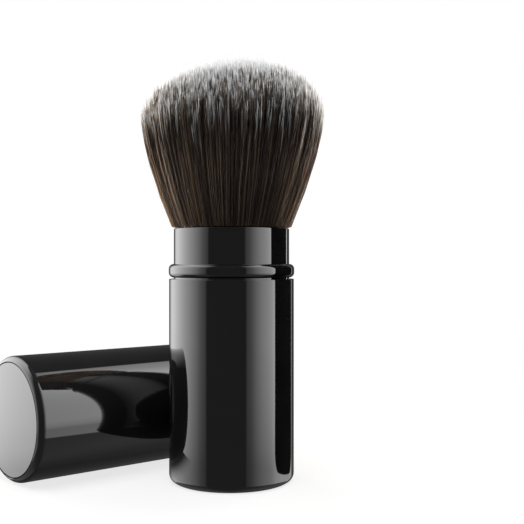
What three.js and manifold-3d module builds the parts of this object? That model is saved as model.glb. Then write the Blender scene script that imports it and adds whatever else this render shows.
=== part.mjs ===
// Retractable makeup brush, stood open on its base, with its cap lying beside it.
// Millimetres, +Z up. The origin is the centre of the base's flat underside.
import * as THREE from 'three';
import { mergeVertices } from 'three/addons/utils/BufferGeometryUtils.js';
import Module from 'manifold-3d';

const wasm = await Module();
wasm.setup();

// Base, the handle that stands on the table
const bodyRadius = 16;
const shellWall = 0.4;
const edgeRound = 1.2;
const baseLength = 51.5;
const endDiscThickness = 0.7;
const endDiscSeam = 0.25;
const endLand = 0.15;

// Sleeve, with the bead ring that parts the base from the collar
const sleeveWall = 0.4;
const sleeveLinerWall = 0.4;
const ringGap = 0.35;
const ringHeight = 3.45;
const ringProud = 0.1;
const ringRound = 1.15;
const collarHeight = 9.05;
const stopRingHeight = 2;
const stopRingGap = 0.15;

// Guide in the mouth of the base
const guideLength = 6;
const guideGap = 0.12;
const frictionRingHeight = 1.8;
const frictionRingGap = 0.05;
const mouthRecess = 0.2;

// Plug, post and screw that carry the brush head
const plugThickness = 1.45;
const plugBossRadius = 5;
const plugBossRise = 1.7;
const restGap = 0.3;
const postRadius = 8;
const postWall = 1.5;
const postFootGap = 1.95;
const postFootThickness = 1.8;
const postFloorTop = 12;
const postHeadThickness = 2.9;
const screwRadius = 1.25;
const screwLength = 7.8;
const screwHeadRadius = 2.6;
const screwHeadHeight = 1.3;
const screwHeadGap = 0.1;
const crossWidth = 0.7;
const crossReach = 1.7;
const crossDepth = 0.8;

// Ferrule and hair head
const ferruleGap = 0.35;
const ferruleWall = 0.35;
const ferruleLength = 20;
const ferruleBelowRim = 1.85;
const ferruleFloor = 0.4;
const ventRadius = 1.5;
const backingBelowFerrule = 0.7;
const backingThickness = 3;
const backingSplit = 0.3;
const hairHeight = 43.15;
const flareRadius = 23.4;
const flareHeight = 29.15;
const rimHairGap = 0.35;
const rimHairLift = 0.15;
const bulgeOverhang = 1.7;
const bulgeHeight = 2.65;
const strandPitch = 1.32;
const strandRootRadius = 0.42;
const strandRimRadius = 0.45;
const strandBulgeRadius = 0.55;
const strandBodyRadius = 0.92;
const strandSink = 0.3;
const tipScatter = 0.9;

// Cap, and where it lies
const capLength = 51.8;
const capGap = 0.25;
const capLinerWall = 0.4;
const capSlipGap = 0.15;
const capLinerFloor = 0.5;
const capMouthRecess = 0.3;
const capReach = 45.3;
const capAside = 0.8;

// Clearance of pieces that are pressed or glued together
const fitGap = 0.05;

// Counts, shares and angles
const outerSides = 36;
const innerSides = 24;
const roundSteps = 3;
const strandSides = 3;
const bodyHeightShare = 0.8;
const firstRingShare = 0.6;
const staggerShare = 0.25;
const quarters = ['right', 'back', 'left', 'front'];
const quarterTurn = Math.PI / 2;
const halfTurn = Math.PI;

// Radii that follow from the sizes above, from the outside in
const endDiscRadius = bodyRadius - edgeRound - endLand - endDiscSeam;
const shellBore = bodyRadius - shellWall;
const capLinerOuter = shellBore - capGap;
const capLinerBore = capLinerOuter - capLinerWall;
const collarRadius = capLinerBore - capSlipGap;
const sleeveBore = collarRadius - sleeveWall;
const linerOuter = sleeveBore - fitGap;
const linerBore = linerOuter - sleeveLinerWall;
const ferruleRadius = linerBore - ferruleGap;
const ferruleBore = ferruleRadius - ferruleWall;
const backingRadius = ferruleBore - fitGap;
const bulgeRadius = collarRadius + bulgeOverhang;

// Heights that follow from the sizes above, from the table up
const plugBottom = endDiscThickness + fitGap;
const plugTop = plugBottom + plugThickness;
const sleeveBottom = plugTop + restGap;
const ringBottom = baseLength + ringGap;
const ringTop = ringBottom + ringHeight;
const rimHeight = ringTop + collarHeight;
const ferruleTop = rimHeight - ferruleBelowRim;
const ferruleBottom = ferruleTop - ferruleLength;
const ferruleFloorBottom = ferruleBottom + postHeadThickness + fitGap;
const backingTop = ferruleTop - backingBelowFerrule;
const backingBottom = backingTop - backingThickness;

const finishes = {
  lacquer: { color: 0x0b0b0c, roughness: 0.08, metalness: 0.3 },
  endPlate: { color: 0x101011, roughness: 0.12, metalness: 0.3 },
  plastic: { color: 0x17171a, roughness: 0.45, metalness: 0 },
  liner: { color: 0x202023, roughness: 0.35, metalness: 0 },
  silicone: { color: 0x2b2b2e, roughness: 0.7, metalness: 0 },
  aluminium: { color: 0xb9babd, roughness: 0.3, metalness: 1 },
  steel: { color: 0x9a9ca0, roughness: 0.35, metalness: 1 },
  glue: { color: 0x3a2f22, roughness: 0.5, metalness: 0 },
  hair: { color: 0x2a2019, roughness: 0.6, metalness: 0 },
};

// A named piece with its own finish
function piece(name, geometry, finish) {
  const mesh = new THREE.Mesh(geometry, new THREE.MeshStandardMaterial(finishes[finish]));
  mesh.name = name;
  return mesh;
}

// A closed outline of [radius, height] pairs turned round +Z
function turned(outline, sides = outerSides) {
  const points = outline.map(([radius, height]) => new THREE.Vector2(radius, height));
  const geometry = new THREE.LatheGeometry(points, sides);
  geometry.rotateX(quarterTurn);
  return geometry;
}

// Points of a quarter circle, from one angle to the next, with its centre at [radius, height]
function arc(centreRadius, centreHeight, size, from, to) {
  const points = [];
  for (let step = 0; step <= roundSteps; step += 1) {
    const angle = from + (to - from) * step / roundSteps;
    points.push([centreRadius + size * Math.cos(angle), centreHeight + size * Math.sin(angle)]);
  }
  return points;
}

// A plain tube between two heights
function tube(inner, outer, bottom, top, sides = outerSides) {
  return turned([[inner, bottom], [outer, bottom], [outer, top], [inner, top], [inner, bottom]], sides);
}

// A plain round bar or disc between two heights
function disc(radius, bottom, top, sides = outerSides) {
  return turned([[0, bottom], [radius, bottom], [radius, top], [0, top]], sides);
}

// A geometry as a solid that can be joined and cut
function solid(geometry) {
  const bare = geometry.clone();
  bare.deleteAttribute('normal');
  bare.deleteAttribute('uv');
  const merged = mergeVertices(bare);
  return new wasm.Manifold(new wasm.Mesh({
    numProp: 3,
    vertProperties: merged.attributes.position.array,
    triVerts: new Uint32Array(merged.index.array),
  }));
}

// A joined or cut solid back as a geometry
function geometryOf(manifold) {
  const mesh = manifold.getMesh();
  const geometry = new THREE.BufferGeometry();
  geometry.setAttribute('position', new THREE.BufferAttribute(mesh.vertProperties, mesh.numProp));
  geometry.setIndex(new THREE.BufferAttribute(mesh.triVerts, 1));
  geometry.computeVertexNormals();
  return geometry;
}

// Drawn tube whose lower edge rolls in round the end plate
function shell(length) {
  const lip = endDiscRadius + endDiscSeam;
  const outline = [
    [lip, 0],
    ...arc(bodyRadius - edgeRound, edgeRound, edgeRound, -quarterTurn, 0),
    [bodyRadius, length],
    [shellBore, length],
    [shellBore, edgeRound + shellWall],
    [lip, endDiscThickness],
    [lip, 0],
  ];
  return turned(outline);
}

// Moulded plug in the bottom of the shell, with a boss that centres the post
function basePlug() {
  const stepRadius = endDiscRadius;
  const stepTop = edgeRound + shellWall + fitGap;
  const rim = shellBore - fitGap;
  const headBore = screwHeadRadius + endDiscSeam;
  const headSeat = plugBottom + screwHeadGap + screwHeadHeight + fitGap;
  const bossTop = plugTop + plugBossRise;
  const screwHole = screwRadius + screwHeadGap;
  const outline = [
    [headBore, plugBottom],
    [stepRadius, plugBottom],
    [stepRadius, stepTop],
    [rim, stepTop],
    [rim, plugTop],
    [plugBossRadius, plugTop],
    [plugBossRadius, bossTop],
    [screwHole, bossTop],
    [screwHole, headSeat],
    [headBore, headSeat],
    [headBore, plugBottom],
  ];
  return turned(outline);
}

// Post with a foot on the plug and a round head inside the ferrule's skirt
function headCarrier() {
  const foot = plugTop + fitGap;
  const socketTop = plugTop + plugBossRise + fitGap;
  const socket = plugBossRadius + fitGap;
  const bore = postRadius - postWall;
  const headBottom = ferruleBottom;
  const headTop = headBottom + postHeadThickness;
  const hole = screwRadius + fitGap;
  const footRadius = linerBore - postFootGap;
  const outline = [
    [socket, foot],
    [footRadius, foot],
    [footRadius, foot + postFootThickness],
    [postRadius, foot + postFootThickness],
    [postRadius, headBottom],
    [backingRadius, headBottom],
    [backingRadius, headTop],
    [bore, headTop],
    [bore, postFloorTop],
    [hole, postFloorTop],
    [hole, socketTop],
    [socket, socketTop],
    [socket, foot],
  ];
  return turned(outline, innerSides);
}

// Pan-head screw with a cross recess, driven up from below
function carrierScrew() {
  const headBottom = plugBottom + screwHeadGap;
  const headTop = headBottom + screwHeadHeight;
  const outline = [
    [0, headBottom],
    [screwHeadRadius, headBottom],
    [screwHeadRadius, headTop],
    [screwRadius, headTop],
    [screwRadius, headTop + screwLength - screwRadius],
    [0, headTop + screwLength],
  ];
  let screw = solid(turned(outline, innerSides));
  for (const [width, depth] of [[crossWidth, crossReach], [crossReach, crossWidth]]) {
    const slot = new THREE.BoxGeometry(width * 2, depth * 2, crossDepth * 2);
    slot.translate(0, 0, headBottom);
    screw = screw.subtract(solid(slot));
  }
  return geometryOf(screw);
}

// Cup round the hair roots, whose skirt goes over the post's head
function ferrule() {
  const floorTop = ferruleFloorBottom + ferruleFloor;
  const outline = [
    [ferruleBore, ferruleBottom],
    [ferruleRadius, ferruleBottom],
    [ferruleRadius, ferruleTop],
    [ferruleBore, ferruleTop],
    [ferruleBore, floorTop],
    [ventRadius, floorTop],
    [ventRadius, ferruleFloorBottom],
    [ferruleBore, ferruleFloorBottom],
    [ferruleBore, ferruleBottom],
  ];
  return turned(outline);
}

// Outer tube of the sleeve, with its upper edge rolled in over the liner
function sleeveTube() {
  const outline = [
    [sleeveBore, sleeveBottom],
    [collarRadius, sleeveBottom],
    ...arc(sleeveBore, rimHeight - sleeveWall, sleeveWall, 0, quarterTurn),
    [linerBore, rimHeight],
    [linerBore, rimHeight - sleeveWall],
    [sleeveBore, rimHeight - sleeveWall],
    [sleeveBore, sleeveBottom],
  ];
  return turned(outline);
}

// Bead ring with round edges, fixed to the tube
function trimRing() {
  const inner = collarRadius + fitGap;
  const edge = bodyRadius + ringProud - ringRound;
  const outline = [
    [inner, ringBottom],
    ...arc(edge, ringBottom + ringRound, ringRound, -quarterTurn, 0),
    ...arc(edge, ringTop - ringRound, ringRound, 0, quarterTurn),
    [inner, ringTop],
    [inner, ringBottom],
  ];
  return turned(outline);
}

// Height of the hair tip whose root lies at this share of the ferrule's bore
function tipHeight(share) {
  const dome = hairHeight - flareHeight;
  return rimHeight + flareHeight + dome * Math.sqrt(1 - share * share);
}

// Radius of the hair head at a height above the bulge over the rim
function headRadius(height) {
  const bulge = rimHeight + bulgeHeight;
  const rise = Math.min(1, (height - bulge) / (rimHeight + flareHeight - bulge));
  return bulgeRadius + (flareRadius - bulgeRadius) * Math.sin(rise * quarterTurn);
}

// The levels of one strand up to just under its tip: height, reach from the axis, half width, angle
function strandLevels(share, angle, sway, tip) {
  const bulge = rimHeight + bulgeHeight;
  const body = bulge + (tip - bulge) * bodyHeightShare;
  return [
    [backingTop - strandSink, share * ferruleBore, strandRootRadius, angle],
    [rimHeight + rimHairLift, share * (linerBore - rimHairGap), strandRimRadius, angle],
    [bulge, share * bulgeRadius, strandBulgeRadius, angle + sway / 2],
    [body, share * headRadius(body), strandBodyRadius, angle + sway],
  ];
}

// One strand: a three-sided spike that follows its levels and ends in a point
function strand(share, angle, sway, tip) {
  const levels = strandLevels(share, angle, sway, tip);
  const vertices = [];
  const faces = [];
  for (const [height, reach, halfWidth, place] of levels) {
    for (let side = 0; side < strandSides; side += 1) {
      const turn = place + side * 2 * Math.PI / strandSides;
      vertices.push(reach * Math.cos(place) + halfWidth * Math.cos(turn));
      vertices.push(reach * Math.sin(place) + halfWidth * Math.sin(turn));
      vertices.push(height);
    }
  }
  const tipReach = share * headRadius(tip);
  vertices.push(tipReach * Math.cos(angle + sway), tipReach * Math.sin(angle + sway), tip);
  const apex = levels.length * strandSides;
  for (let side = 0; side < strandSides; side += 1) {
    const next = (side + 1) % strandSides;
    for (let level = 0; level < levels.length - 1; level += 1) {
      const low = level * strandSides;
      const high = low + strandSides;
      faces.push(low + side, low + next, high + next);
      faces.push(low + side, high + next, high + side);
    }
    faces.push(apex - strandSides + side, apex - strandSides + next, apex);
  }
  faces.push(0, 2, 1);
  const geometry = new THREE.BufferGeometry();
  geometry.setAttribute('position', new THREE.Float32BufferAttribute(vertices, 3));
  geometry.setIndex(faces);
  return geometry;
}

// Repeatable random numbers from 0 to 1
function randomFrom(seed) {
  let state = seed;
  return () => {
    state = (state * 1103515245 + 12345) % 2147483648;
    return state / 2147483648;
  };
}

// A quarter of the backing that the hair is set in, its middle towards +X
function backingSlice() {
  const inset = backingSplit * Math.SQRT1_2;
  const swing = Math.PI / 4 - Math.asin(backingSplit / 2 / backingRadius);
  const shape = new THREE.Shape();
  shape.moveTo(inset, 0);
  shape.lineTo(backingRadius * Math.cos(swing), -backingRadius * Math.sin(swing));
  shape.absarc(0, 0, backingRadius, -swing, swing, false);
  const settings = { depth: backingThickness, bevelEnabled: false, curveSegments: outerSides / 4 };
  const slice = new THREE.ExtrudeGeometry(shape, settings);
  slice.translate(0, 0, backingBottom);
  return slice;
}

// A quarter of the hair head: its slice of backing with every strand joined to it
function bristleQuarter(index) {
  const random = randomFrom(index + 1);
  const middle = index * quarterTurn;
  const rings = Math.floor((backingRadius - strandRootRadius) / strandPitch - firstRingShare) + 1;
  const slice = backingSlice();
  slice.rotateZ(middle);
  let tuft = solid(slice);
  for (let ring = 0; ring < rings; ring += 1) {
    const radius = (ring + firstRingShare) * strandPitch;
    const count = Math.max(1, Math.floor(quarterTurn * (ring + firstRingShare)));
    const share = radius / ferruleBore;
    const sway = (ring % 2 - 0.5) * 2 * staggerShare * quarterTurn / count;
    for (let place = 0; place < count; place += 1) {
      const angle = middle + ((place + 0.5) / count - 0.5) * quarterTurn;
      const tip = tipHeight(share) - tipScatter * random();
      tuft = tuft.add(solid(strand(share, angle, sway, tip)));
    }
  }
  return geometryOf(tuft);
}

// The base and everything that stays with it
function base() {
  const group = new THREE.Group();
  const ringFloor = baseLength - mouthRecess - frictionRingHeight;
  const guideTop = ringFloor - fitGap;
  const mouth = shellBore - fitGap;
  group.add(piece('base_shell', shell(baseLength), 'lacquer'));
  group.add(piece('base_foot_disc', disc(endDiscRadius, 0, endDiscThickness), 'endPlate'));
  group.add(piece('base_plug', basePlug(), 'plastic'));
  group.add(piece('carrier_screw', carrierScrew(), 'steel'));
  group.add(piece('head_carrier', headCarrier(), 'plastic'));
  group.add(piece('guide_bush', tube(collarRadius + guideGap, mouth, guideTop - guideLength, guideTop), 'plastic'));
  group.add(piece(
    'friction_ring',
    tube(collarRadius + frictionRingGap, mouth, ringFloor, ringFloor + frictionRingHeight),
    'silicone',
  ));
  group.add(piece('ferrule', ferrule(), 'aluminium'));
  const plugFloor = ferruleFloorBottom + ferruleFloor + fitGap;
  group.add(piece('bristle_plug', disc(backingRadius, plugFloor, backingBottom - fitGap), 'glue'));
  quarters.forEach((side, index) => {
    group.add(piece(`bristles_${side}`, bristleQuarter(index), 'hair'));
  });
  return group;
}

// The sleeve, which slides up round the hair
function sleeve() {
  const group = new THREE.Group();
  const linerTop = rimHeight - sleeveWall - fitGap;
  const stopOuter = shellBore - stopRingGap;
  group.add(piece('sleeve_tube', sleeveTube(), 'lacquer'));
  group.add(piece('trim_ring', trimRing(), 'lacquer'));
  group.add(piece('sleeve_liner', tube(linerBore, linerOuter, sleeveBottom, linerTop), 'liner'));
  group.add(piece(
    'sleeve_stop_ring',
    tube(collarRadius + fitGap, stopOuter, sleeveBottom, sleeveBottom + stopRingHeight),
    'plastic',
  ));
  return group;
}

// The cap, laid on its side with its mouth towards +X
function cap() {
  const group = new THREE.Group();
  const floorBottom = edgeRound + shellWall + capGap;
  const floorTop = floorBottom + capLinerFloor;
  const linerMouth = capLength - capMouthRecess;
  const liner = turned([
    [0, floorBottom],
    [capLinerOuter, floorBottom],
    [capLinerOuter, linerMouth],
    [capLinerBore, linerMouth],
    [capLinerBore, floorTop],
    [0, floorTop],
  ]);
  group.add(piece('cap_shell', shell(capLength), 'lacquer'));
  group.add(piece('cap_end_disc', disc(endDiscRadius, 0, endDiscThickness), 'endPlate'));
  group.add(piece('cap_liner', liner, 'liner'));
  const halfFacet = halfTurn / outerSides;
  const lying = new THREE.Group();
  group.rotation.z = halfFacet;
  lying.add(group);
  lying.rotation.y = quarterTurn;
  lying.position.set(-capReach, bodyRadius * 2 + capAside, bodyRadius * Math.cos(halfFacet));
  return lying;
}

const brush = new THREE.Group();
brush.add(base(), sleeve(), cap());

export default brush;
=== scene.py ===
# %% [markdown]
# A retractable makeup brush, dressed in Blender.
# The brush stands open on its base: a lacquered tube, a sleeve with a bead ring that slides in it,
# and a round head of soft hair. Its cap lies beside it, a little behind.
# The construction comes in as a fixed frame, in metres. This file gives every surface its look, and each
# new piece is made exactly where the frame says, so nothing is fitted by eye afterwards.

# %% Load the frame
import math

import bpy
import numpy as np
from mathutils import Matrix, Vector


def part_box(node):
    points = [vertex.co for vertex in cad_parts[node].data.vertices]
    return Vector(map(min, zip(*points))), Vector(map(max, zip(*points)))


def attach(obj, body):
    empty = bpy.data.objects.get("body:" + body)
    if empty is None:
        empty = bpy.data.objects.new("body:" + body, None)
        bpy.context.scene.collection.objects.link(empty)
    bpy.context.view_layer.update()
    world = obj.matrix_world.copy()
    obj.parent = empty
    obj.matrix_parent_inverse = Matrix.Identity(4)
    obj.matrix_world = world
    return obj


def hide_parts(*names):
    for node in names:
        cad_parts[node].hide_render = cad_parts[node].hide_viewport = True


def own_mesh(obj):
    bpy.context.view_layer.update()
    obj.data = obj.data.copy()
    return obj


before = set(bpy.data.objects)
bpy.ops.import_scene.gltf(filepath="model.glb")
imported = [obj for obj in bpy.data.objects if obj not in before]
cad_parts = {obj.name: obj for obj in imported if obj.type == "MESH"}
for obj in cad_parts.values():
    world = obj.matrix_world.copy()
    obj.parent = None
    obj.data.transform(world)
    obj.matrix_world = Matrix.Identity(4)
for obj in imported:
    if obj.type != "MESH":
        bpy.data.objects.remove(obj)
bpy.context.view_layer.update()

# %% [markdown]
# The frame can be asked for the box round any part. The tubes are round and share one axis, so half a
# box's width is a radius and its top and bottom are heights. Reading sizes this way keeps the smooth
# pieces on the faceted solids that they stand for, also if the construction is changed later.

# %% Sizes read from the frame
MM = 0.001


def radius_of(node):
    """Outer radius of a part that stands on the brush's axis."""
    low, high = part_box(node)
    return (high.x - low.x) / 2


def heights_of(node):
    """Lowest and highest level of a part that stands on the brush's axis."""
    low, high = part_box(node)
    return low.z, high.z


body_radius = radius_of("base_shell")
collar_radius = radius_of("sleeve_tube")
rim = heights_of("sleeve_tube")[1]
head_top = max(heights_of(f"bristles_{side}")[1] for side in ("right", "back", "left", "front"))
print(f"Body radius {body_radius / MM:.2f} mm, rim at {rim / MM:.2f} mm, hair up to {head_top / MM:.2f} mm")

# %% [markdown]
# Materials are built from shader nodes. Placing and linking them by hand is long to read, so one
# small class wraps an output socket and lets Python's own signs add the Math nodes: 1 - mask is a
# Subtract node. Every other kind of node comes from one method, which takes the kind, its settings
# and its sockets. Colours are mixed by a Mix node, because a Math node would turn them grey.

# %% Shader maths
class Wire:
    """An output socket that can be added, taken away, multiplied, divided and made positive."""

    def __init__(self, recipe, socket):
        self.recipe = recipe
        self.socket = socket

    def maths(self, operation, first, second):
        return self.recipe.add("ShaderNodeMath", {"operation": operation}, {0: first, 1: second})

    def twin(self, name):
        """Another output of the same node."""
        return Wire(self.recipe, self.socket.node.outputs[name])

    def __add__(self, other):
        return self.maths("ADD", self, other)

    def __radd__(self, other):
        return self.maths("ADD", other, self)

    def __sub__(self, other):
        return self.maths("SUBTRACT", self, other)

    def __rsub__(self, other):
        return self.maths("SUBTRACT", other, self)

    def __mul__(self, other):
        return self.maths("MULTIPLY", self, other)

    def __rmul__(self, other):
        return self.maths("MULTIPLY", other, self)

    def __truediv__(self, other):
        return self.maths("DIVIDE", self, other)

    def __rtruediv__(self, other):
        return self.maths("DIVIDE", other, self)

    def __abs__(self):
        return self.maths("ABSOLUTE", self, 0.0)


class Recipe:
    """The nodes of one material or world."""

    def __init__(self, owner):
        owner.use_nodes = True
        self.owner = owner
        self.tree = owner.node_tree
        self.tree.nodes.clear()

    def add(self, kind, settings=None, sockets=None, output=0):
        """Adds a node: first its settings, then the values or links of its sockets."""
        node = self.tree.nodes.new(kind)
        for name, value in (settings or {}).items():
            if name == "stops":
                self.set_stops(node.color_ramp.elements, value)
            else:
                setattr(node, name, value)
        for name, value in (sockets or {}).items():
            if isinstance(value, Wire):
                self.tree.links.new(value.socket, node.inputs[name])
            else:
                node.inputs[name].default_value = value
        return Wire(self, node.outputs[output]) if len(node.outputs) else None

    def set_stops(self, elements, stops):
        """Sets a colour ramp to [place, colour] pairs."""
        while len(elements) < len(stops):
            elements.new(0.5)
        for element, (place, colour) in zip(elements, stops):
            element.position = place
            element.color = (*colour, 1)

    def noise(self, place, scale, detail):
        """Cloudy noise from 0 to 1, with scale in clouds per metre."""
        sockets = {"Vector": place, "Scale": scale, "Detail": detail}
        return self.add("ShaderNodeTexNoise", {"normalize": True}, sockets, "Fac")

    def spread(self, value, low, high, start=0.0, end=1.0):
        """Turns low to high into start to end, smoothly, and holds both ends."""
        sockets = {"Value": value, "From Min": low, "From Max": high, "To Min": start, "To Max": end}
        return self.add("ShaderNodeMapRange", {"interpolation_type": "SMOOTHSTEP"}, sockets, "Result")

    def tint(self, mask, first, second):
        """Goes from the first colour to the second as the mask goes from 0 to 1."""
        colours = [value if isinstance(value, Wire) else (*value, 1) for value in (first, second)]
        sockets = {0: mask, 6: colours[0], 7: colours[1]}
        return self.add("ShaderNodeMix", {"data_type": "RGBA"}, sockets, 2)

    def relief(self, height, depth):
        """A normal that stands in for fine relief of this depth in metres."""
        sockets = {"Strength": 1.0, "Distance": depth, "Height": height}
        return self.add("ShaderNodeBump", {}, sockets, "Normal")

    def place(self):
        """Where a point is on its own object, in metres."""
        return self.add("ShaderNodeTexCoord", output="Object")

    def coat_with(self, sockets):
        """Ends the recipe with a Principled surface and gives its material back."""
        surface = self.add("ShaderNodeBsdfPrincipled", {}, sockets)
        self.add("ShaderNodeOutputMaterial", {}, {"Surface": surface})
        return self.owner


def new_recipe(name):
    return Recipe(bpy.data.materials.new(name))


# %% [markdown]
# Lacquer first, because it covers nearly all that shows. On the real brush the aluminium is dyed and
# sprayed black and then polished, so its own colour is close to none, and what the eye reads as its
# look is the sharp reflection in a clear coat. The coat stays even and the layer under it varies: a
# faint cloudiness in the colour, handling haze in the roughness, and a slow ripple of a few
# thousandths of a millimetre.

# %% Lacquer
cloud_scale = 90
speck_scale = 2600
ripple_scale = 240
ripple_depth = 0.000004
coat_roughness = 0.015
handled_gain = 2


def gloss_black(name, colour, bloom, haze):
    """Polished black: colour in the deep places, bloom in the faintly milky ones."""
    recipe = new_recipe(name)
    place = recipe.place()
    cloud = recipe.noise(place, cloud_scale, 4)
    speck = recipe.noise(place, speck_scale, 2)
    ripple = recipe.noise(place, ripple_scale, 1)
    return recipe.coat_with({
        "Base Color": recipe.tint(recipe.spread(cloud, 0.35, 0.75), colour, bloom),
        "Roughness": recipe.spread(speck, 0.45, 0.75, haze, haze * handled_gain),
        "Coat Weight": 1.0,
        "Coat Roughness": coat_roughness,
        "Normal": recipe.relief(ripple, ripple_depth),
    })


lacquer = gloss_black("lacquer", (0.0080, 0.0080, 0.0083), (0.0108, 0.0108, 0.0112), 0.045)
end_plate = gloss_black("end plate", (0.0088, 0.0088, 0.0091), (0.0118, 0.0118, 0.0123), 0.060)
print("Lacquer and end plate mixed")

# %% [markdown]
# The working parts inside are moulded plastic, drawn and turned metal, silicone and set glue. They
# show at the mouth of the base when the sleeve is up, in the cap, and to whoever takes the brush
# apart. Moulded parts have a fine spark-eroded grain, turned metal has rings round its axis, and glue
# has slow waves.

# %% Moulded plastic and silicone
grain_scale = 5200
stain_scale = 150
worn_gain = 1.35
grain_smooth = 0.9
grain_rough = 1.15


def moulded(name, colour, roughness, grain_depth):
    """Plastic with the fine even grain of its mould."""
    recipe = new_recipe(name)
    place = recipe.place()
    grain = recipe.noise(place, grain_scale, 2)
    stain = recipe.noise(place, stain_scale, 3)
    worn = [share * worn_gain for share in colour]
    return recipe.coat_with({
        "Base Color": recipe.tint(recipe.spread(stain, 0.3, 0.8), colour, worn),
        "Roughness": recipe.spread(grain, 0.3, 0.7, roughness * grain_smooth, roughness * grain_rough),
        "Normal": recipe.relief(grain, grain_depth),
    })


plastic = moulded("moulded plastic", (0.020, 0.020, 0.022), 0.42, 0.000012)
liner = moulded("liner plastic", (0.030, 0.030, 0.033), 0.30, 0.000005)
silicone = moulded("silicone", (0.040, 0.040, 0.043), 0.68, 0.000008)
print("Moulded plastic, liner plastic and silicone mixed")

# %% Turned metal and set glue
ring_stretch = (90, 90, 9000)
ring_depth = 0.000003
dull_gain = 0.82
ring_smooth = 0.8
ring_rough = 1.25
wave_scale = 320
wave_depth = 0.00015
glue_smooth = 0.18
glue_rough = 0.34


def turned_metal(name, colour, roughness):
    """Metal with the fine rings that a lathe or a drawing die leaves."""
    recipe = new_recipe(name)
    place = recipe.place()
    rings = recipe.add("ShaderNodeVectorMath", {"operation": "MULTIPLY"}, {0: place, 1: ring_stretch})
    line = recipe.noise(rings, 1, 2)
    dull = [share * dull_gain for share in colour]
    return recipe.coat_with({
        "Base Color": recipe.tint(line, dull, colour),
        "Roughness": recipe.spread(line, 0.3, 0.7, roughness * ring_smooth, roughness * ring_rough),
        "Metallic": 1.0,
        "Normal": recipe.relief(line, ring_depth),
    })


def set_glue():
    """Resin that ran level round the hair roots and set."""
    recipe = new_recipe("set glue")
    wave = recipe.noise(recipe.place(), wave_scale, 2)
    return recipe.coat_with({
        "Base Color": recipe.tint(wave, (0.035, 0.023, 0.012), (0.075, 0.052, 0.030)),
        "Roughness": recipe.spread(wave, 0.3, 0.7, glue_smooth, glue_rough),
        "Normal": recipe.relief(wave, wave_depth),
    })


aluminium = turned_metal("satin aluminium", (0.60, 0.60, 0.62), 0.32)
steel = turned_metal("plated steel", (0.50, 0.50, 0.52), 0.28)
glue = set_glue()
print(f"{len(bpy.data.materials)} materials so far")

# %% [markdown]
# The hidden parts of the mechanism have the right shape already, so they stay as they came and only
# get their finish: assigning to a part's material slot changes its look and nothing else.

# %% Finishes for the parts that stay
kept_parts = {
    "base_plug": plastic,
    "head_carrier": plastic,
    "sleeve_stop_ring": plastic,
    "carrier_screw": steel,
    "ferrule": aluminium,
    "bristle_plug": glue,
}
for node, finish in kept_parts.items():
    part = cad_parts[node]
    part.data.materials.clear()
    part.data.materials.append(finish)
print(f"{len(kept_parts)} inner parts keep their solids")

# %% [markdown]
# The tubes, rings and discs are all turned shapes: an outline in radius and height, spun round the
# axis. A mirror finish shows every facet, so the spun meshes are much finer than the construction's.
# Each corner of an outline carries its own small rounding, because a drawn edge is never sharp, and
# that rounding is what catches the thin bright lines at the rims.

# %% Spinning an outline
spin_steps = 192
arc_steps = 8
crease_angle = math.radians(28)
least_radius = 1e-6


def soften(corner, before, after, size):
    """The arc that replaces a sharp corner of an outline."""
    back = (before - corner).normalized()
    ahead = (after - corner).normalized()
    half = back.angle(ahead) / 2
    centre = corner + (back + ahead).normalized() * size / math.sin(half)
    start = corner + back * size / math.tan(half) - centre
    end = corner + ahead * size / math.tan(half) - centre
    turn = start.angle_signed(end)
    return [
        centre + Matrix.Rotation(-turn * step / arc_steps, 2) @ start
        for step in range(arc_steps + 1)
    ]


def outline_of(corners):
    """Points of a closed outline given as (radius, height) or (radius, height, rounding) in millimetres."""
    points = [Vector(corner[:2]) for corner in corners]
    line = []
    for index, corner in enumerate(corners):
        before = points[index - 1]
        after = points[(index + 1) % len(points)]
        if len(corner) == 3:
            line += soften(points[index], before, after, corner[2])
        else:
            line.append(points[index])
    return line


def spin(name, corners, finish, placing=None):
    """A closed solid of revolution round +Z, moved by the placing matrix if there is one."""
    line = outline_of(corners)
    vertices = []
    rings = []
    for point in line:
        on_axis = point.x < least_radius
        ring = []
        for step in range(1 if on_axis else spin_steps):
            angle = step * 2 * math.pi / spin_steps
            ring.append(len(vertices))
            vertices.append((point.x * math.cos(angle) * MM, point.x * math.sin(angle) * MM, point.y * MM))
        rings.append(ring)
    faces = []
    for index, low in enumerate(rings):
        high = rings[(index + 1) % len(rings)]
        if len(low) == 1 and len(high) == 1:
            continue
        for step in range(spin_steps):
            after = (step + 1) % spin_steps
            corners_of_face = [low[step % len(low)], low[after % len(low)]]
            corners_of_face += [high[after % len(high)], high[step % len(high)]]
            faces.append(list(dict.fromkeys(corners_of_face)))
    mesh = bpy.data.meshes.new(name)
    mesh.from_pydata(vertices, [], faces)
    if placing:
        mesh.transform(placing)
    mesh.shade_smooth()
    mesh.set_sharp_from_angle(angle=crease_angle)
    mesh.materials.append(finish)
    thing = bpy.data.objects.new(name, mesh)
    bpy.context.collection.objects.link(thing)
    return thing


def seat(thing, body, slot, *nodes):
    """Lets a piece ride on its body and stand for the parts it replaces."""
    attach(thing, body)
    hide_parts(*nodes)
    return thing


# %% [markdown]
# The base is a drawn aluminium tube whose lower edge rolls in round a flat end plate, with a fine
# seam between them. The cap is the same tube closed the same way, so one function makes both and the
# cap's copy is only turned on its side. The mouth has a tiny polished break that shows as a bright
# hairline.

# %% Base and cap shells
shell_wall = 0.4
roll_tilt = math.radians(20)
mouth_break = 0.14
plate_seam = 0.25
plate_edge = 0.12


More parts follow.
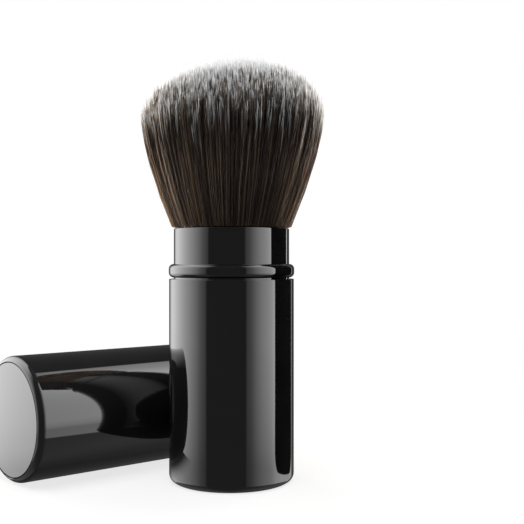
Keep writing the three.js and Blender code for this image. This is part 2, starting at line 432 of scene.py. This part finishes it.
def rolled_edge(radius, lip):
    """An arc from the lip, where it is tilted already, to where it meets the tube's side."""
    size = (radius - lip) / (1 - math.sin(roll_tilt))
    level = size * math.cos(roll_tilt)
    turns = np.linspace(roll_tilt, math.pi / 2, 2 * arc_steps)
    return [(radius - size * (1 - math.sin(turn)), level - size * math.cos(turn)) for turn in turns]


def shell_corners(radius, length, lip, lip_top):
    """Outline of a tube whose closed end rolls in to a lip."""
    bore = radius - shell_wall
    rolled = rolled_edge(radius, lip)
    return [
        *rolled,
        (radius, length, mouth_break),
        (bore, length, mouth_break),
        (bore, rolled[-1][1]),
        (lip, lip_top),
    ]


def plate_corners(radius, bottom, top):
    """Outline of an end plate with a broken edge."""
    return [(0, bottom), (radius, bottom, plate_edge), (radius, top, plate_edge), (0, top)]


plate_radius = radius_of("base_foot_disc") / MM
plate_top = heights_of("base_foot_disc")[1] / MM
base_length = heights_of("base_shell")[1] / MM
body = body_radius / MM
lip = plate_radius + plate_seam
base_shell = spin("base_tube", shell_corners(body, base_length, lip, plate_top), lacquer)
seat(base_shell, "base", "lacquer", "base_shell")
base_plate = spin("base_end_plate", plate_corners(plate_radius, 0, plate_top), end_plate)
seat(base_plate, "base", "end_plate", "base_foot_disc")
print(f"Base tube {base_length:.1f} mm long, end plate {2 * plate_radius:.1f} mm across")

# %% The cap on its side
cap_low, cap_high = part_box("cap_shell")
cap_length = (cap_high.x - cap_low.x) / MM
lying = Matrix.Translation((cap_low.x, (cap_low.y + cap_high.y) / 2, body_radius))
lying = lying @ Matrix.Rotation(math.pi / 2, 4, "Y")
cap_shell = spin("cap_tube", shell_corners(body, cap_length, lip, plate_top), lacquer, lying)
seat(cap_shell, "cap", "lacquer", "cap_shell")
cap_plate = spin("cap_end_plate", plate_corners(plate_radius, 0, plate_top), end_plate, lying)
seat(cap_plate, "cap", "end_plate", "cap_end_disc")

liner_low, liner_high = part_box("cap_liner")
liner_wall = 0.4
liner_floor = 0.5
liner_gap = 0.25
liner_corner = 0.3
liner_break = 0.1
liner_fillet = 0.4
liner_radius = body - shell_wall - liner_gap
liner_bottom = (liner_low.x - cap_low.x) / MM
liner_mouth = (liner_high.x - cap_low.x) / MM
cap_liner = spin("cap_inner_cup", [
    (0, liner_bottom),
    (liner_radius, liner_bottom, liner_corner),
    (liner_radius, liner_mouth, liner_break),
    (liner_radius - liner_wall, liner_mouth, liner_break),
    (liner_radius - liner_wall, liner_bottom + liner_floor, liner_fillet),
    (0, liner_bottom + liner_floor),
], liner, lying)
seat(cap_liner, "cap", "liner", "cap_liner")
print(f"Cap {cap_length:.1f} mm long, lying along the X axis")

# %% [markdown]
# The sleeve is a narrower lacquered tube whose upper edge rolls in over a plastic liner. A bead ring
# with nearly half-round edges is pressed on it where it meets the base. Above the ring the tube is
# the collar that the cap slips over.

# %% Sleeve, bead ring and liner
collar = collar_radius / MM
sleeve_bottom, sleeve_top = (level / MM for level in heights_of("sleeve_tube"))
liner_outer = radius_of("sleeve_liner") / MM
liner_top = heights_of("sleeve_liner")[1] / MM
sleeve_bore = collar - shell_wall
lining_bore = liner_outer - liner_wall
rim_lip = sleeve_top - shell_wall
rim_round = 0.25
rim_break = 0.12
foot_break = 0.1
sleeve_tube = spin("sleeve_outer_tube", [
    (sleeve_bore, sleeve_bottom),
    (collar, sleeve_bottom, foot_break),
    (collar, sleeve_top, rim_round),
    (lining_bore, sleeve_top, rim_break),
    (lining_bore, rim_lip),
    (sleeve_bore, rim_lip),
], lacquer)
seat(sleeve_tube, "sleeve", "lacquer", "sleeve_tube")
lining = spin("sleeve_lining", [
    (lining_bore, sleeve_bottom),
    (liner_outer, sleeve_bottom),
    (liner_outer, liner_top),
    (lining_bore, liner_top),
], liner)
seat(lining, "sleeve", "liner", "sleeve_liner")

ring_radius = radius_of("trim_ring") / MM
ring_bottom, ring_top = (level / MM for level in heights_of("trim_ring"))
ring_round = 1.25
ring_fit = 0.05
bead_ring = spin("bead_ring", [
    (collar + ring_fit, ring_bottom),
    (ring_radius, ring_bottom, ring_round),
    (ring_radius, ring_top, ring_round),
    (collar + ring_fit, ring_top),
], lacquer)
seat(bead_ring, "sleeve", "lacquer", "trim_ring")
print(f"Bead ring {ring_top - ring_bottom:.2f} mm high, collar {2 * collar:.1f} mm across")

# %% [markdown]
# Just inside the mouth of the base sit a plastic bush that guides the sleeve and a soft ring that
# brakes it. They show as a narrow step when the sleeve is pushed up round the hair, so they get round
# meshes too.

# %% Guide bush and friction ring
guide_gap = 0.12
guide_round = 0.15
brake_gap = 0.05
brake_round = 0.2
brake_break = 0.1
guide_bore = collar + guide_gap
brake_bore = collar + brake_gap
mouth_radius = radius_of("guide_bush") / MM
guide_bottom, guide_top = (level / MM for level in heights_of("guide_bush"))
brake_bottom, brake_top = (level / MM for level in heights_of("friction_ring"))
guide = spin("guide_ring", [
    (guide_bore, guide_bottom, guide_round),
    (mouth_radius, guide_bottom),
    (mouth_radius, guide_top),
    (guide_bore, guide_top, guide_round),
], plastic)
seat(guide, "base", "plastic", "guide_bush")
brake = spin("brake_ring", [
    (brake_bore, brake_bottom, brake_round),
    (mouth_radius, brake_bottom),
    (mouth_radius, brake_top, brake_break),
    (brake_bore, brake_top, brake_round),
], silicone)
seat(brake, "base", "silicone", "friction_ring")
print("Guide and brake rings in the mouth of the base")

# %% [markdown]
# The hair head is the softest thing to get right. Real hair is set in the ferrule as a tight round
# bundle, spills a little over the rim, spreads in a nearly straight cone and ends in a dome, dark
# brown at the root and white at the tip. Blender's own hair would not be part of the exported model,
# so each hair is a thin three-sided spike. The hairs stand in small locks that draw together towards
# their tips, because that is what gives the dome its pepper and salt: white tips in front of dark
# gaps. This head isn't quite even: its dome is fuller than half a ball, stands a little higher on one
# side and leans that way.

# %% Shape of the hair head
ferrule_inset = 0.6
root_depth = 0.9
liner_inset = 0.15
spill_height = 0.45
spill_overhang = 0.35
widest_rise = 29.15
shoulder_drop = 1.5
dome_excess = 1.0
held_radius = radius_of("ferrule") / MM - ferrule_inset
root_level = heights_of("ferrule")[1] / MM - root_depth
rim_level = rim / MM
spill_radius = collar + spill_overhang
widest_radius = 23.5
widest_level = rim_level + widest_rise
shoulder_level = widest_level - shoulder_drop
dome_height = head_top / MM - shoulder_level + dome_excess
dome_fullness = 2.5
dome_tilt = 1.6
tilt_direction = math.radians(-40)
high_side = np.array([math.cos(tilt_direction), math.sin(tilt_direction)])
head_lean = 0.22
flare_power = 1.5


def head_radius(level):
    """Outer radius of the hair head at each level, in millimetres."""
    rise = np.clip((level - rim_level) / (widest_level - rim_level), 0, 1)
    flared = spill_radius + (widest_radius - spill_radius) * (1 - (1 - rise) ** flare_power)
    inside = np.clip((level - root_level) / (rim_level - root_level), 0, 1)
    held = held_radius + (lining_bore - liner_inset - held_radius) * inside
    spill = np.clip((level - rim_level) / spill_height, 0, 1)
    return held + (flared - held) * spill * spill * (3 - 2 * spill)


def tip_level(root):
    """Level of the tip of each hair, from where its root stands as a share of the head's radius."""
    share = np.minimum(1, np.linalg.norm(root, axis=1))
    dome = dome_height * np.sqrt(1 - share ** dome_fullness)
    return shoulder_level + dome + dome_tilt * (root @ high_side)


print(f"Hair head {2 * widest_radius:.1f} mm across, with a dome {dome_height:.1f} mm high")

# %% [markdown]
# Locks are placed on a sunflower spiral, which fills a disc evenly. Each lock leans its own way,
# draws together by its own share and ends at its own height: most end at the dome and a few fall
# short, so the outline is a soft haze. The draws are seeded, so every run grows the same head.

# %% Planting the locks
random = np.random.default_rng(20)
lock_count = 6750
hairs_in_lock = 4
outermost_share = 0.985
lock_sway = 0.013
hair_sway = 0.014
middle_drop = 1.5
edge_drop = 3.5
hair_drop = 1.2
least_gather = 0.35
most_gather = 0.90
middle_gather = 0.4
lock_overlap = 1.6
golden_turn = math.pi * (3 - math.sqrt(5))
lock_index = np.arange(lock_count)
lock_share = np.sqrt((lock_index + 0.5) / lock_count) * outermost_share
lock_angle = lock_index * golden_turn
lock_centre = np.stack([lock_share * np.cos(lock_angle), lock_share * np.sin(lock_angle)], 1)
lock_lean = random.normal(0, lock_sway, (lock_count, 2))
lock_drop = (middle_drop + edge_drop * lock_share ** 6) * random.uniform(0, 1, lock_count) ** 1.5
gather_share = middle_gather + (1 - middle_gather) * lock_share ** 2
lock_gather = random.uniform(least_gather, most_gather, lock_count) * gather_share
lock_shade = random.uniform(0, 1, lock_count)
lock_size = lock_overlap / math.sqrt(lock_count)

hair_count = lock_count * hairs_in_lock
owner = np.repeat(lock_index, hairs_in_lock)
offset_reach = lock_size * np.sqrt(random.uniform(0, 1, hair_count))
offset_angle = random.uniform(0, 2 * math.pi, hair_count)
offset = np.stack([offset_reach * np.cos(offset_angle), offset_reach * np.sin(offset_angle)], 1)
stray = random.normal(0, hair_sway, (hair_count, 2))
drop = lock_drop[owner] + hair_drop * random.uniform(0, 1, hair_count) ** 2
print(f"{hair_count} hairs in {lock_count} locks")

# %% [markdown]
# No two hairs have the same colour. A shade from 0 to 1 goes from nearly black to tan, partly shared
# by a lock. Hairs at the edge of the head get a paler shade, most of all on the side away from the
# lean: that is painted light, the glow of the lamps behind the head. White fades out a few millimetres
# below most tips and far down a few hairs, which makes the bright dashes. In the middle of the dome all
# hairs stay white for longer, and the longest dashes are at the edge, on the side that the head leans
# to. At the very edge of that side the white reaches further still, a painted highlight of tips lit from
# behind.

# %% Shades and white tips
lock_part_of_shade = 0.40
painted_glow_all_round = 0.10
painted_glow_low_side = 0.32
painted_glow_high_side = 0.10
lock_part_of_white = 0.65
least_white = 0.5
dash_white = 8.5
dash_white_at_edge = 10.0
dash_rarity = 3.6
high_side_gain = 1.6
middle_white = 9.0
painted_lit_tips_high_side = 4.0

outwards = lock_share[owner] ** 2
sideways = lock_centre[owner] @ high_side
low_side_edge = np.maximum(0, -sideways) ** 8
high_side_edge = np.maximum(0, sideways) ** 8
hair_shade = random.uniform(0, 1, hair_count)
mixed_shade = lock_part_of_shade * lock_shade[owner] + (1 - lock_part_of_shade) * hair_shade
# The paler shade at the edges of the head is painted glow of the lamps behind it.
painted_edge_glow = painted_glow_all_round * outwards ** 8
shade = mixed_shade + painted_edge_glow + painted_glow_low_side * low_side_edge + painted_glow_high_side * high_side_edge
lock_white = random.uniform(0, 1, lock_count)
hair_white = random.uniform(0, 1, hair_count)
whiteness = lock_part_of_white * lock_white[owner] + (1 - lock_part_of_white) * hair_white
high_side_share = 1 + high_side_gain * np.maximum(0, sideways) ** 4
longest_dash = (dash_white + dash_white_at_edge * outwards ** 4) * high_side_share
dash = longest_dash * whiteness ** dash_rarity
# The extra white at the very edge of the high side is a painted highlight of lit tips.
white_reach = least_white + dash + middle_white * (1 - outwards) ** 2 + painted_lit_tips_high_side * high_side_edge
twist = random.uniform(0, 2 * math.pi, hair_count)
print(f"White reaches {np.median(white_reach):.1f} mm down the middle hair, at most {white_reach.max():.1f}")

# %% [markdown]
# A hair is a stack of three-cornered rings and a point. Its place at each level is a share of the
# head's radius, so the bundle keeps its order from root to tip, and a small sideways draw at each
# ring gives it a wave. Hairs inside the head, which hardly show, have fewer rings. NumPy works on all
# hairs at once. Three numbers are stored on the mesh for the material: how far a point is from the
# tip, the hair's own shade, and how far its white reaches.

# %% Growing the hairs
rise_shares = np.array([0.34, 0.64, 0.84, 0.95])
every_ring = [0, 1, 2, 3, 4, 5, 6, 7]
inner_rings = [0, 2, 4, 5, 6, 7]
outer_share = 0.82
ring_sides = 3
wave = np.array([0, 0, 0, 0.05, 0.09, 0.10, 0.07, 0.05])
thickness = np.array([0.052, 0.052, 0.056, 0.064, 0.074, 0.070, 0.040])
least_size = 1e-9


def levels_of(tip):
    """The levels of a hair's rings and of its point, root first."""
    fixed = [np.full_like(tip, root_level), np.full_like(tip, rim_level)]
    fixed.append(np.full_like(tip, rim_level + spill_height))
    rising = [rim_level + (tip - rim_level) * share for share in rise_shares]
    return np.stack([*fixed, *rising, tip], 1)


def places_of(index):
    """Centre of each ring and of the point of the chosen hairs, in millimetres."""
    centre = lock_centre[owner[index]]
    root = centre + offset[index]
    level = levels_of(tip_level(root) - drop[index])
    grown = np.clip((level - rim_level) / (widest_level - rim_level), 0, 1)[:, :, None] ** 2
    gather = lock_gather[owner[index]][:, None, None]
    drawn = centre[:, None] + offset[index][:, None] * (1 - gather * grown)
    drawn = drawn + (lock_lean[owner[index]] + stray[index])[:, None] * grown
    drawn = drawn + random.normal(0, 1, drawn.shape) * wave[:, None] / widest_radius
    size = np.linalg.norm(drawn, axis=2, keepdims=True)
    drawn = drawn * np.minimum(1, 1 / np.maximum(size, least_size))
    flat = drawn * head_radius(level)[:, :, None] + head_lean * high_side * grown
    return np.concatenate([flat, level[:, :, None]], 2)


def hair_faces(count, rings):
    """Corner numbers of every face, hair by hair: three sides per ring, the root and the point."""
    stride = rings * ring_sides + 1
    one = [[2, 1, 0]]
    for ring in range(rings - 1):
        for side in range(ring_sides):
            low = ring * ring_sides
            following = (side + 1) % ring_sides
            one.append([low + side, low + following, low + ring_sides + following])
            one.append([low + side, low + ring_sides + following, low + ring_sides + side])
    last = (rings - 1) * ring_sides
    for side in range(ring_sides):
        one.append([last + side, last + (side + 1) % ring_sides, stride - 1])
    return (np.array(one)[None] + np.arange(count)[:, None, None] * stride).reshape(-1, 3)


# %% [markdown]
# The hair's colour runs along its length: brown above the ferrule, nearly black and neutral under the
# dome, and white from there to the tip, for as far as the stored reach says. The stored shade picks
# out dark, reddish and tan hairs, so the side of the head is not one flat brown. A hair is so thin
# that light comes through it. Subsurface scattering of a fifth of a millimetre stands for that, and
# lets the edges of the head glow against the lamps behind it while its middle stays dark.

# %% Hair finish
neutral_until = 4.0
brown_from = 17.0
least_brown = 0.34
white_core = 0.25
rough_until = 2.0
smooth_from = 9.0
tip_roughness = 0.62
body_roughness = 0.42
hair_gloss = 0.15
light_reach = 0.0002


def hair_finish():
    recipe = new_recipe("hair")
    from_tip = recipe.add("ShaderNodeAttribute", {"attribute_name": "from_tip"}, output="Fac")
    own_shade = recipe.add("ShaderNodeAttribute", {"attribute_name": "shade"}, output="Fac")
    own_white = recipe.add("ShaderNodeAttribute", {"attribute_name": "white_reach"}, output="Fac")
    body_colour = recipe.add("ShaderNodeValToRGB", {"stops": [
        (0.25, (0.032, 0.0245, 0.021)),
        (0.50, (0.062, 0.0435, 0.037)),
        (0.65, (0.130, 0.090, 0.074)),
        (0.80, (0.22, 0.148, 0.106)),
        (0.95, (0.50, 0.345, 0.215)),
    ]}, {"Fac": own_shade}, "Color")
    brown = recipe.spread(from_tip, neutral_until, brown_from, least_brown, 1.0)
    body_colour = recipe.tint(brown, (0.007, 0.007, 0.008), body_colour)
    pale = 1 - recipe.spread(from_tip / own_white, white_core, 1.0)
    tip_colour = recipe.tint(own_shade, (0.66, 0.66, 0.67), (0.93, 0.93, 0.92))
    return recipe.coat_with({
        "Base Color": recipe.tint(pale * pale, body_colour, tip_colour),
        "Roughness": recipe.spread(from_tip, rough_until, smooth_from, tip_roughness, body_roughness),
        "Specular IOR Level": hair_gloss,
        "Subsurface Weight": 1.0,
        "Subsurface Radius": (1.0, 0.90, 0.80),
        "Subsurface Scale": light_reach,
    })


hair = hair_finish()
print(f"{len(bpy.data.materials)} materials in all")

# %% [markdown]
# The head is cut into sixteen wedges, each a mesh of its own, so that each can be squeezed towards the
# axis by itself when the sleeve comes up and presses the hair together, which keeps the bundle round.
# Every hair gets its own narrow column of the texture map, so that a baked picture of the material keeps
# each one's shade.

# %% Sixteen wedges of hair
wedges = 16
wedge_angle = 2 * math.pi / wedges
first_angle = -math.pi / 4
quarters = ["right", "back", "left", "front"]
column_margin = 0.15
wedge_of_lock = np.floor(((lock_angle - first_angle) % (2 * math.pi)) / wedge_angle).astype(int)


def strands(index, chosen):
    """Points, faces and distances to the tip of the chosen hairs, built on some of the rings."""
    places = places_of(index)[:, chosen]
    count = len(index)
    rings = len(chosen) - 1
    corner = twist[index][:, None, None] + np.arange(ring_sides) * 2 * math.pi / ring_sides
    points = np.repeat(places[:, :rings, None], ring_sides, 2)
    points[..., 0] += np.cos(corner) * thickness[chosen[:-1], None]
    points[..., 1] += np.sin(corner) * thickness[chosen[:-1], None]
    points = np.concatenate([points.reshape(count, -1, 3), places[:, rings:]], 1)
    from_tip = places[:, rings:, 2] - points[:, :, 2]
    hair_of_point = np.repeat(index, points.shape[1])
    return points.reshape(-1, 3), hair_faces(count, rings), from_tip.ravel(), hair_of_point


def grow_wedge(number):
    """One wedge of the head as a mesh, with the numbers its material reads."""
    in_wedge = wedge_of_lock[owner] == number
    outside = lock_share[owner] > outer_share
    outer = strands(np.flatnonzero(in_wedge & outside), every_ring)
    inner = strands(np.flatnonzero(in_wedge & ~outside), inner_rings)
    points = np.concatenate([outer[0], inner[0]])
    faces = np.concatenate([outer[1], inner[1] + len(outer[0])])
    from_tip = np.concatenate([outer[2], inner[2]])
    hair_of_point = np.concatenate([outer[3], inner[3]])
    mesh = bpy.data.meshes.new(f"hair_{number + 1:02d}")
    mesh.from_pydata((points * MM).tolist(), [], faces.tolist())
    mesh.shade_smooth()
    store(mesh, "from_tip", from_tip)
    store(mesh, "shade", shade[hair_of_point])
    store(mesh, "white_reach", white_reach[hair_of_point])
    hairs, column_of_point = np.unique(hair_of_point, return_inverse=True)
    span = 1 / len(hairs)
    left_to_right = np.array([column_margin, 1 - column_margin, 0.5]) * span
    across = column_of_point[faces[:, :1]] * span + left_to_right
    along = 1 - np.clip(from_tip[faces] / from_tip.max(), 0, 1)
    layer = mesh.uv_layers.new(name="OFBake")
    layer.uv.foreach_set("vector", np.stack([across, along], 2).astype(np.float32).ravel())
    return mesh


def store(mesh, name, values):
    """Keeps one number per vertex on a mesh."""
    attribute = mesh.attributes.new(name, "FLOAT", "POINT")
    attribute.data.foreach_set("value", values.astype(np.float32))


for number in range(wedges):
    wedge = bpy.data.objects.new(f"hair_{number + 1:02d}", grow_wedge(number))
    bpy.context.collection.objects.link(wedge)
    wedge.data.materials.append(hair)
    seat(wedge, "base", "hair", f"bristles_{quarters[number * len(quarters) // wedges]}")
    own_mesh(wedge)

# %% [markdown]
# The camera stands where the photographer's did: level, a little over the middle of the brush's
# height and about a quarter of a metre away, so the base is seen slightly from above and the hair
# from below.

# %% Camera
picture_width = 524
focal_pixels = 913
camera_azimuth = math.radians(-40.7)
camera_distance = 0.235
camera_height = 0.0558
camera_shift_right = 0.00782
forward = Vector((-math.sin(camera_azimuth), math.cos(camera_azimuth), 0))
rightward = Vector((math.cos(camera_azimuth), math.sin(camera_azimuth), 0))
camera_data = bpy.data.cameras.new("camera")
camera_data.sensor_width = 36
camera_data.lens = focal_pixels / picture_width * camera_data.sensor_width
camera_data.clip_start = 0.01
camera = bpy.data.objects.new("camera", camera_data)
camera.location = rightward * camera_shift_right - forward * camera_distance + Vector((0, 0, camera_height))
camera.rotation_euler = (math.pi / 2, 0, camera_azimuth)
bpy.context.collection.objects.link(camera)
bpy.context.scene.camera = camera
print(f"Lens {camera_data.lens:.1f} mm")

# %% [markdown]
# Black gloss has almost no look of its own: it shows the studio. In the picture the brush stands in a
# tent with a tall soft light on either side and darkness in front and behind, and the lights fade
# towards the front and the floor. The tent here is a sphere that only reflections see. One colour
# ramp runs round its equator and holds the lights, with angles that grow to the camera's right. A
# second one runs from its lowest point to its highest and fades them to the dim glow of the tent's
# own cloth.

# %% Light tent
tent_radius = 0.9
tent_glow = 4.0
tent_lights = [
    (-154, 0.06),
    (-151, 0.45),
    (-146, 0.90),
    (-140, 1.52),
    (-129, 2.11),
    (-121, 2.41),
    (-106, 2.66),
    (-95, 2.56),
    (-80, 2.14),
    (-65, 1.38),
    (-57, 0.83),
    (-45, 0.37),
    (-43.5, 0.09),
    (27, 0.09),
    (29.5, 0.38),
    (38, 0.64),
    (48, 1.31),
    (60, 2.0),
    (74, 2.5),
    (80, 2.8),
    (90, 3.6),
    (104, 3.4),
    (128, 1.8),
    (144, 1.25),
    (146, 0.06),
]
tent_fade = [
    (-0.475, 0.05),
    (-0.455, 0.50),
    (-0.235, 0.52),
    (-0.217, 0.60),
    (-0.196, 0.69),
    (-0.143, 0.81),
    (-0.110, 0.865),
    (0.0, 1.0),
    (0.92, 1.0),
    (0.945, 0.0),
]
tent_dim = 0.12


def grey_stops(marks, low, high, brightest):
    """Ramp stops from [mark, brightness] pairs, with marks from low to high."""
    return [((mark - low) / (high - low), [glow / brightest] * 3) for mark, glow in marks]


def tent_finish():
    recipe = new_recipe("light tent")
    ahead = recipe.add("ShaderNodeSeparateXYZ", {}, {"Vector": recipe.place()}, "X")
    height = ahead.twin("Z") / tent_radius
    angle = ahead.maths("ARCTAN2", ahead.twin("Y"), ahead) * (180 / math.pi)
    round_stops = {"stops": grey_stops(tent_lights, -180, 180, tent_glow)}
    lights = recipe.add("ShaderNodeValToRGB", round_stops, {"Fac": angle / 360 + 0.5}, "Color")
    upright = {"Fac": height / 2 + 0.5}
    fade = recipe.add("ShaderNodeValToRGB", {"stops": grey_stops(tent_fade, -1, 1, 1)}, upright, "Color")
    dim = [tent_dim / tent_glow] * 3
    return recipe.coat_with({
        "Base Color": (0, 0, 0, 1),
        "Specular IOR Level": 0.0,
        "Emission Color": recipe.tint(fade, dim, lights),
        "Emission Strength": tent_glow,
    })


def reflected_only(thing):
    """Leaves a stage piece to reflections: the camera and the soft light pass through it."""
    thing.visible_camera = False
    thing.visible_diffuse = False
    thing.visible_transmission = False
    thing.visible_shadow = False


bpy.ops.mesh.primitive_uv_sphere_add(segments=96, ring_count=48, radius=tent_radius)
tent = bpy.context.object
tent.name = "light_tent"
tent.rotation_euler = (0, 0, math.atan2(-forward.y, -forward.x))
tent.data.materials.append(tent_finish())
reflected_only(tent)
print(f"Light tent {2 * tent_radius:.1f} m across with {len(tent_lights)} marks")

# %% [markdown]
# A dark card with rounded lower corners stands close to the camera's right of the brush, out of every
# picture. It draws the narrow black band down the right side of the lacquer, as a photographer's card
# does.

# %% Dark card
card_near = (0.043, 0.0130)
card_far = (0.031, -0.017)
card_bottom = -0.0035
card_top = 0.112
card_round = 0.006


def dark_finish():
    recipe = new_recipe("dark card")
    return recipe.coat_with({"Base Color": (0, 0, 0, 1), "Roughness": 1.0, "Specular IOR Level": 0.0})


near_foot, far_foot = (
    rightward * right_share - forward * near_share for right_share, near_share in (card_near, card_far)
)
card_width = (far_foot - near_foot).length
card_line = outline_of([
    (0, card_top / MM),
    (0, card_bottom / MM, card_round / MM),
    (card_width / MM, card_bottom / MM, card_round / MM),
    (card_width / MM, card_top / MM),
])
card_points = [
    near_foot + (far_foot - near_foot) * (point.x * MM / card_width) + Vector((0, 0, point.y * MM))
    for point in card_line
]
card_mesh = bpy.data.meshes.new("dark_card")
card_mesh.from_pydata([tuple(point) for point in card_points], [], [tuple(range(len(card_points)))])
card_mesh.materials.append(dark_finish())
card = bpy.data.objects.new("dark_card", card_mesh)
bpy.context.collection.objects.link(card)
reflected_only(card)
print(f"Dark card {(card_top - card_bottom) / MM:.0f} mm high")

# %% [markdown]
# The lacquer sees no floor, so the cap's shadow on the floor, dark under the lying cap, would be missing
# from the reflection at the foot of the base, where it shows to the left. A soft-edged strip under the
# cap, far dimmer than the tent and again only for reflections, paints that shadow back in.

# %% Painted shadow under the cap
strip_dark = 0.004
strip_clear = 0.026
strip_level = -0.0004
strip_glow = 0.06


# A painted shadow: black that fades out at its sides, with a faint glow for the dim light of the shaded
# floor.
def painted_shadow_finish():
    recipe = new_recipe("painted cap shadow")
    across = recipe.add("ShaderNodeSeparateXYZ", {}, {"Vector": recipe.place()}, "Y")
    return recipe.coat_with({
        "Base Color": (0, 0, 0, 1),
        "Roughness": 1.0,
        "Specular IOR Level": 0.0,
        "Emission Color": (1, 1, 1, 1),
        "Emission Strength": strip_glow,
        "Alpha": 1 - recipe.spread(abs(across), strip_dark, strip_clear),
    })


cap_middle = (cap_low + cap_high) / 2
strip_place = (cap_middle.x, cap_middle.y, strip_level)
bpy.ops.mesh.primitive_plane_add(size=cap_length * MM, location=strip_place)
strip = bpy.context.object
strip.name = "painted_cap_shadow"
strip.data.materials.append(painted_shadow_finish())
reflected_only(strip)
print(f"Dark strip {2 * strip_clear / MM:.0f} mm wide under the cap")

# %% [markdown]
# The floor is plain white and fades into the backdrop. Near the brush about a quarter of its look is
# real light, so it keeps a faint soft shadow, and further out the camera sees it as bare white. The
# lacquer in the picture shows no floor, so reflections pass through this one and meet the tent below
# it. Soft light passes through it as well, because light thrown back up would fill the dark underside
# of the hair.

# %% Floor and backdrop
floor_reach = 3.0
floor_level = -0.00005
floor_colour = (0.92, 0.92, 0.92, 1)
shadow_core = 0.03
shadow_reach = 0.16
least_bare = 0.76


def seen_rays(recipe):
    """1 for rays from the camera, also by way of gloss or glass, and 0 for soft light."""
    ray = recipe.add("ShaderNodeLightPath", output="Is Camera Ray")
    return ray + ray.twin("Is Glossy Ray") + ray.twin("Is Transmission Ray")


def floor_finish():
    recipe = new_recipe("floor")
    distance = recipe.add("ShaderNodeVectorMath", {"operation": "LENGTH"}, {0: recipe.place()}, "Value")
    bare = recipe.spread(distance, shadow_core, shadow_reach, least_bare, 1.0) * seen_rays(recipe)
    lit = recipe.add("ShaderNodeBsdfDiffuse", {}, {"Color": floor_colour})
    white = recipe.add("ShaderNodeEmission", {}, {"Color": (1, 1, 1, 1), "Strength": 1.0})
    both = recipe.add("ShaderNodeMixShader", {}, {0: bare, 1: lit, 2: white})
    recipe.add("ShaderNodeOutputMaterial", {}, {"Surface": both})
    return recipe.owner


bpy.ops.mesh.primitive_plane_add(size=2 * floor_reach, location=(0, 0, floor_level))
floor = bpy.context.object
floor.name = "floor"
floor.data.materials.append(floor_finish())
floor.visible_glossy = False
floor.visible_diffuse = False

ambient = 0.18


def backdrop():
    recipe = Recipe(bpy.data.worlds.new("backdrop"))
    soft = recipe.add("ShaderNodeBackground", {}, {"Color": (1, 1, 1, 1), "Strength": ambient})
    white = recipe.add("ShaderNodeBackground", {}, {"Color": (1, 1, 1, 1), "Strength": 1.0})
    both = recipe.add("ShaderNodeMixShader", {}, {0: seen_rays(recipe), 1: soft, 2: white})
    recipe.add("ShaderNodeOutputWorld", {}, {"Surface": both})
    return recipe.owner


bpy.context.scene.world = backdrop()
print("White floor and backdrop")

# %% [markdown]
# Soft lamps do the rest. Two low warm ones stand behind the brush, one on either side: their light
# comes through the thin edges of the hair and leaves its middle dark. A weak one at the left lifts
# that side, and a large one overhead brings out the white tips. They are kept out of reflections,
# where the tent already shows its own lights.

# %% Lamps
aim_level = 0.07
warm = (1.0, 0.92, 0.80)
faintly_warm = (1.0, 0.95, 0.88)
daylight = (0.98, 0.99, 1.0)


def soft_lamp(name, degrees, distance, height, width, tall, watts, colour):
    """A large area lamp at an angle to the camera's right, aimed at the hair."""
    turn = camera_azimuth + math.radians(degrees)
    away = Vector((math.sin(turn), -math.cos(turn), 0)) * distance + Vector((0, 0, height))
    data = bpy.data.lights.new(name, "AREA")
    data.shape = "RECTANGLE"
    data.size = width
    data.size_y = tall
    data.energy = watts
    data.color = colour
    lamp = bpy.data.objects.new(name, data)
    lamp.location = away
    aim = Vector((0, 0, aim_level)) - away
    lamp.rotation_euler = aim.to_track_quat("-Z", "Y").to_euler()
    lamp.visible_glossy = False
    lamp.visible_camera = False
    bpy.context.collection.objects.link(lamp)


soft_lamp("left_light", -134, 0.7, 0.09, 0.60, 0.3, 10.5, warm)
soft_lamp("left_fill", -92, 0.7, 0.09, 0.80, 0.3, 1.5, faintly_warm)
soft_lamp("right_light", 138, 0.7, 0.09, 0.45, 0.3, 8.5, warm)
soft_lamp("top_light", 0, 0.15, 0.8, 0.6, 0.6, 6.4, daylight)
print(f"{len(bpy.data.lights)} lamps")

# %% [markdown]
# Last come the plain display settings.

# %% Settings and the end
bpy.context.scene.view_settings.view_transform = "Standard"
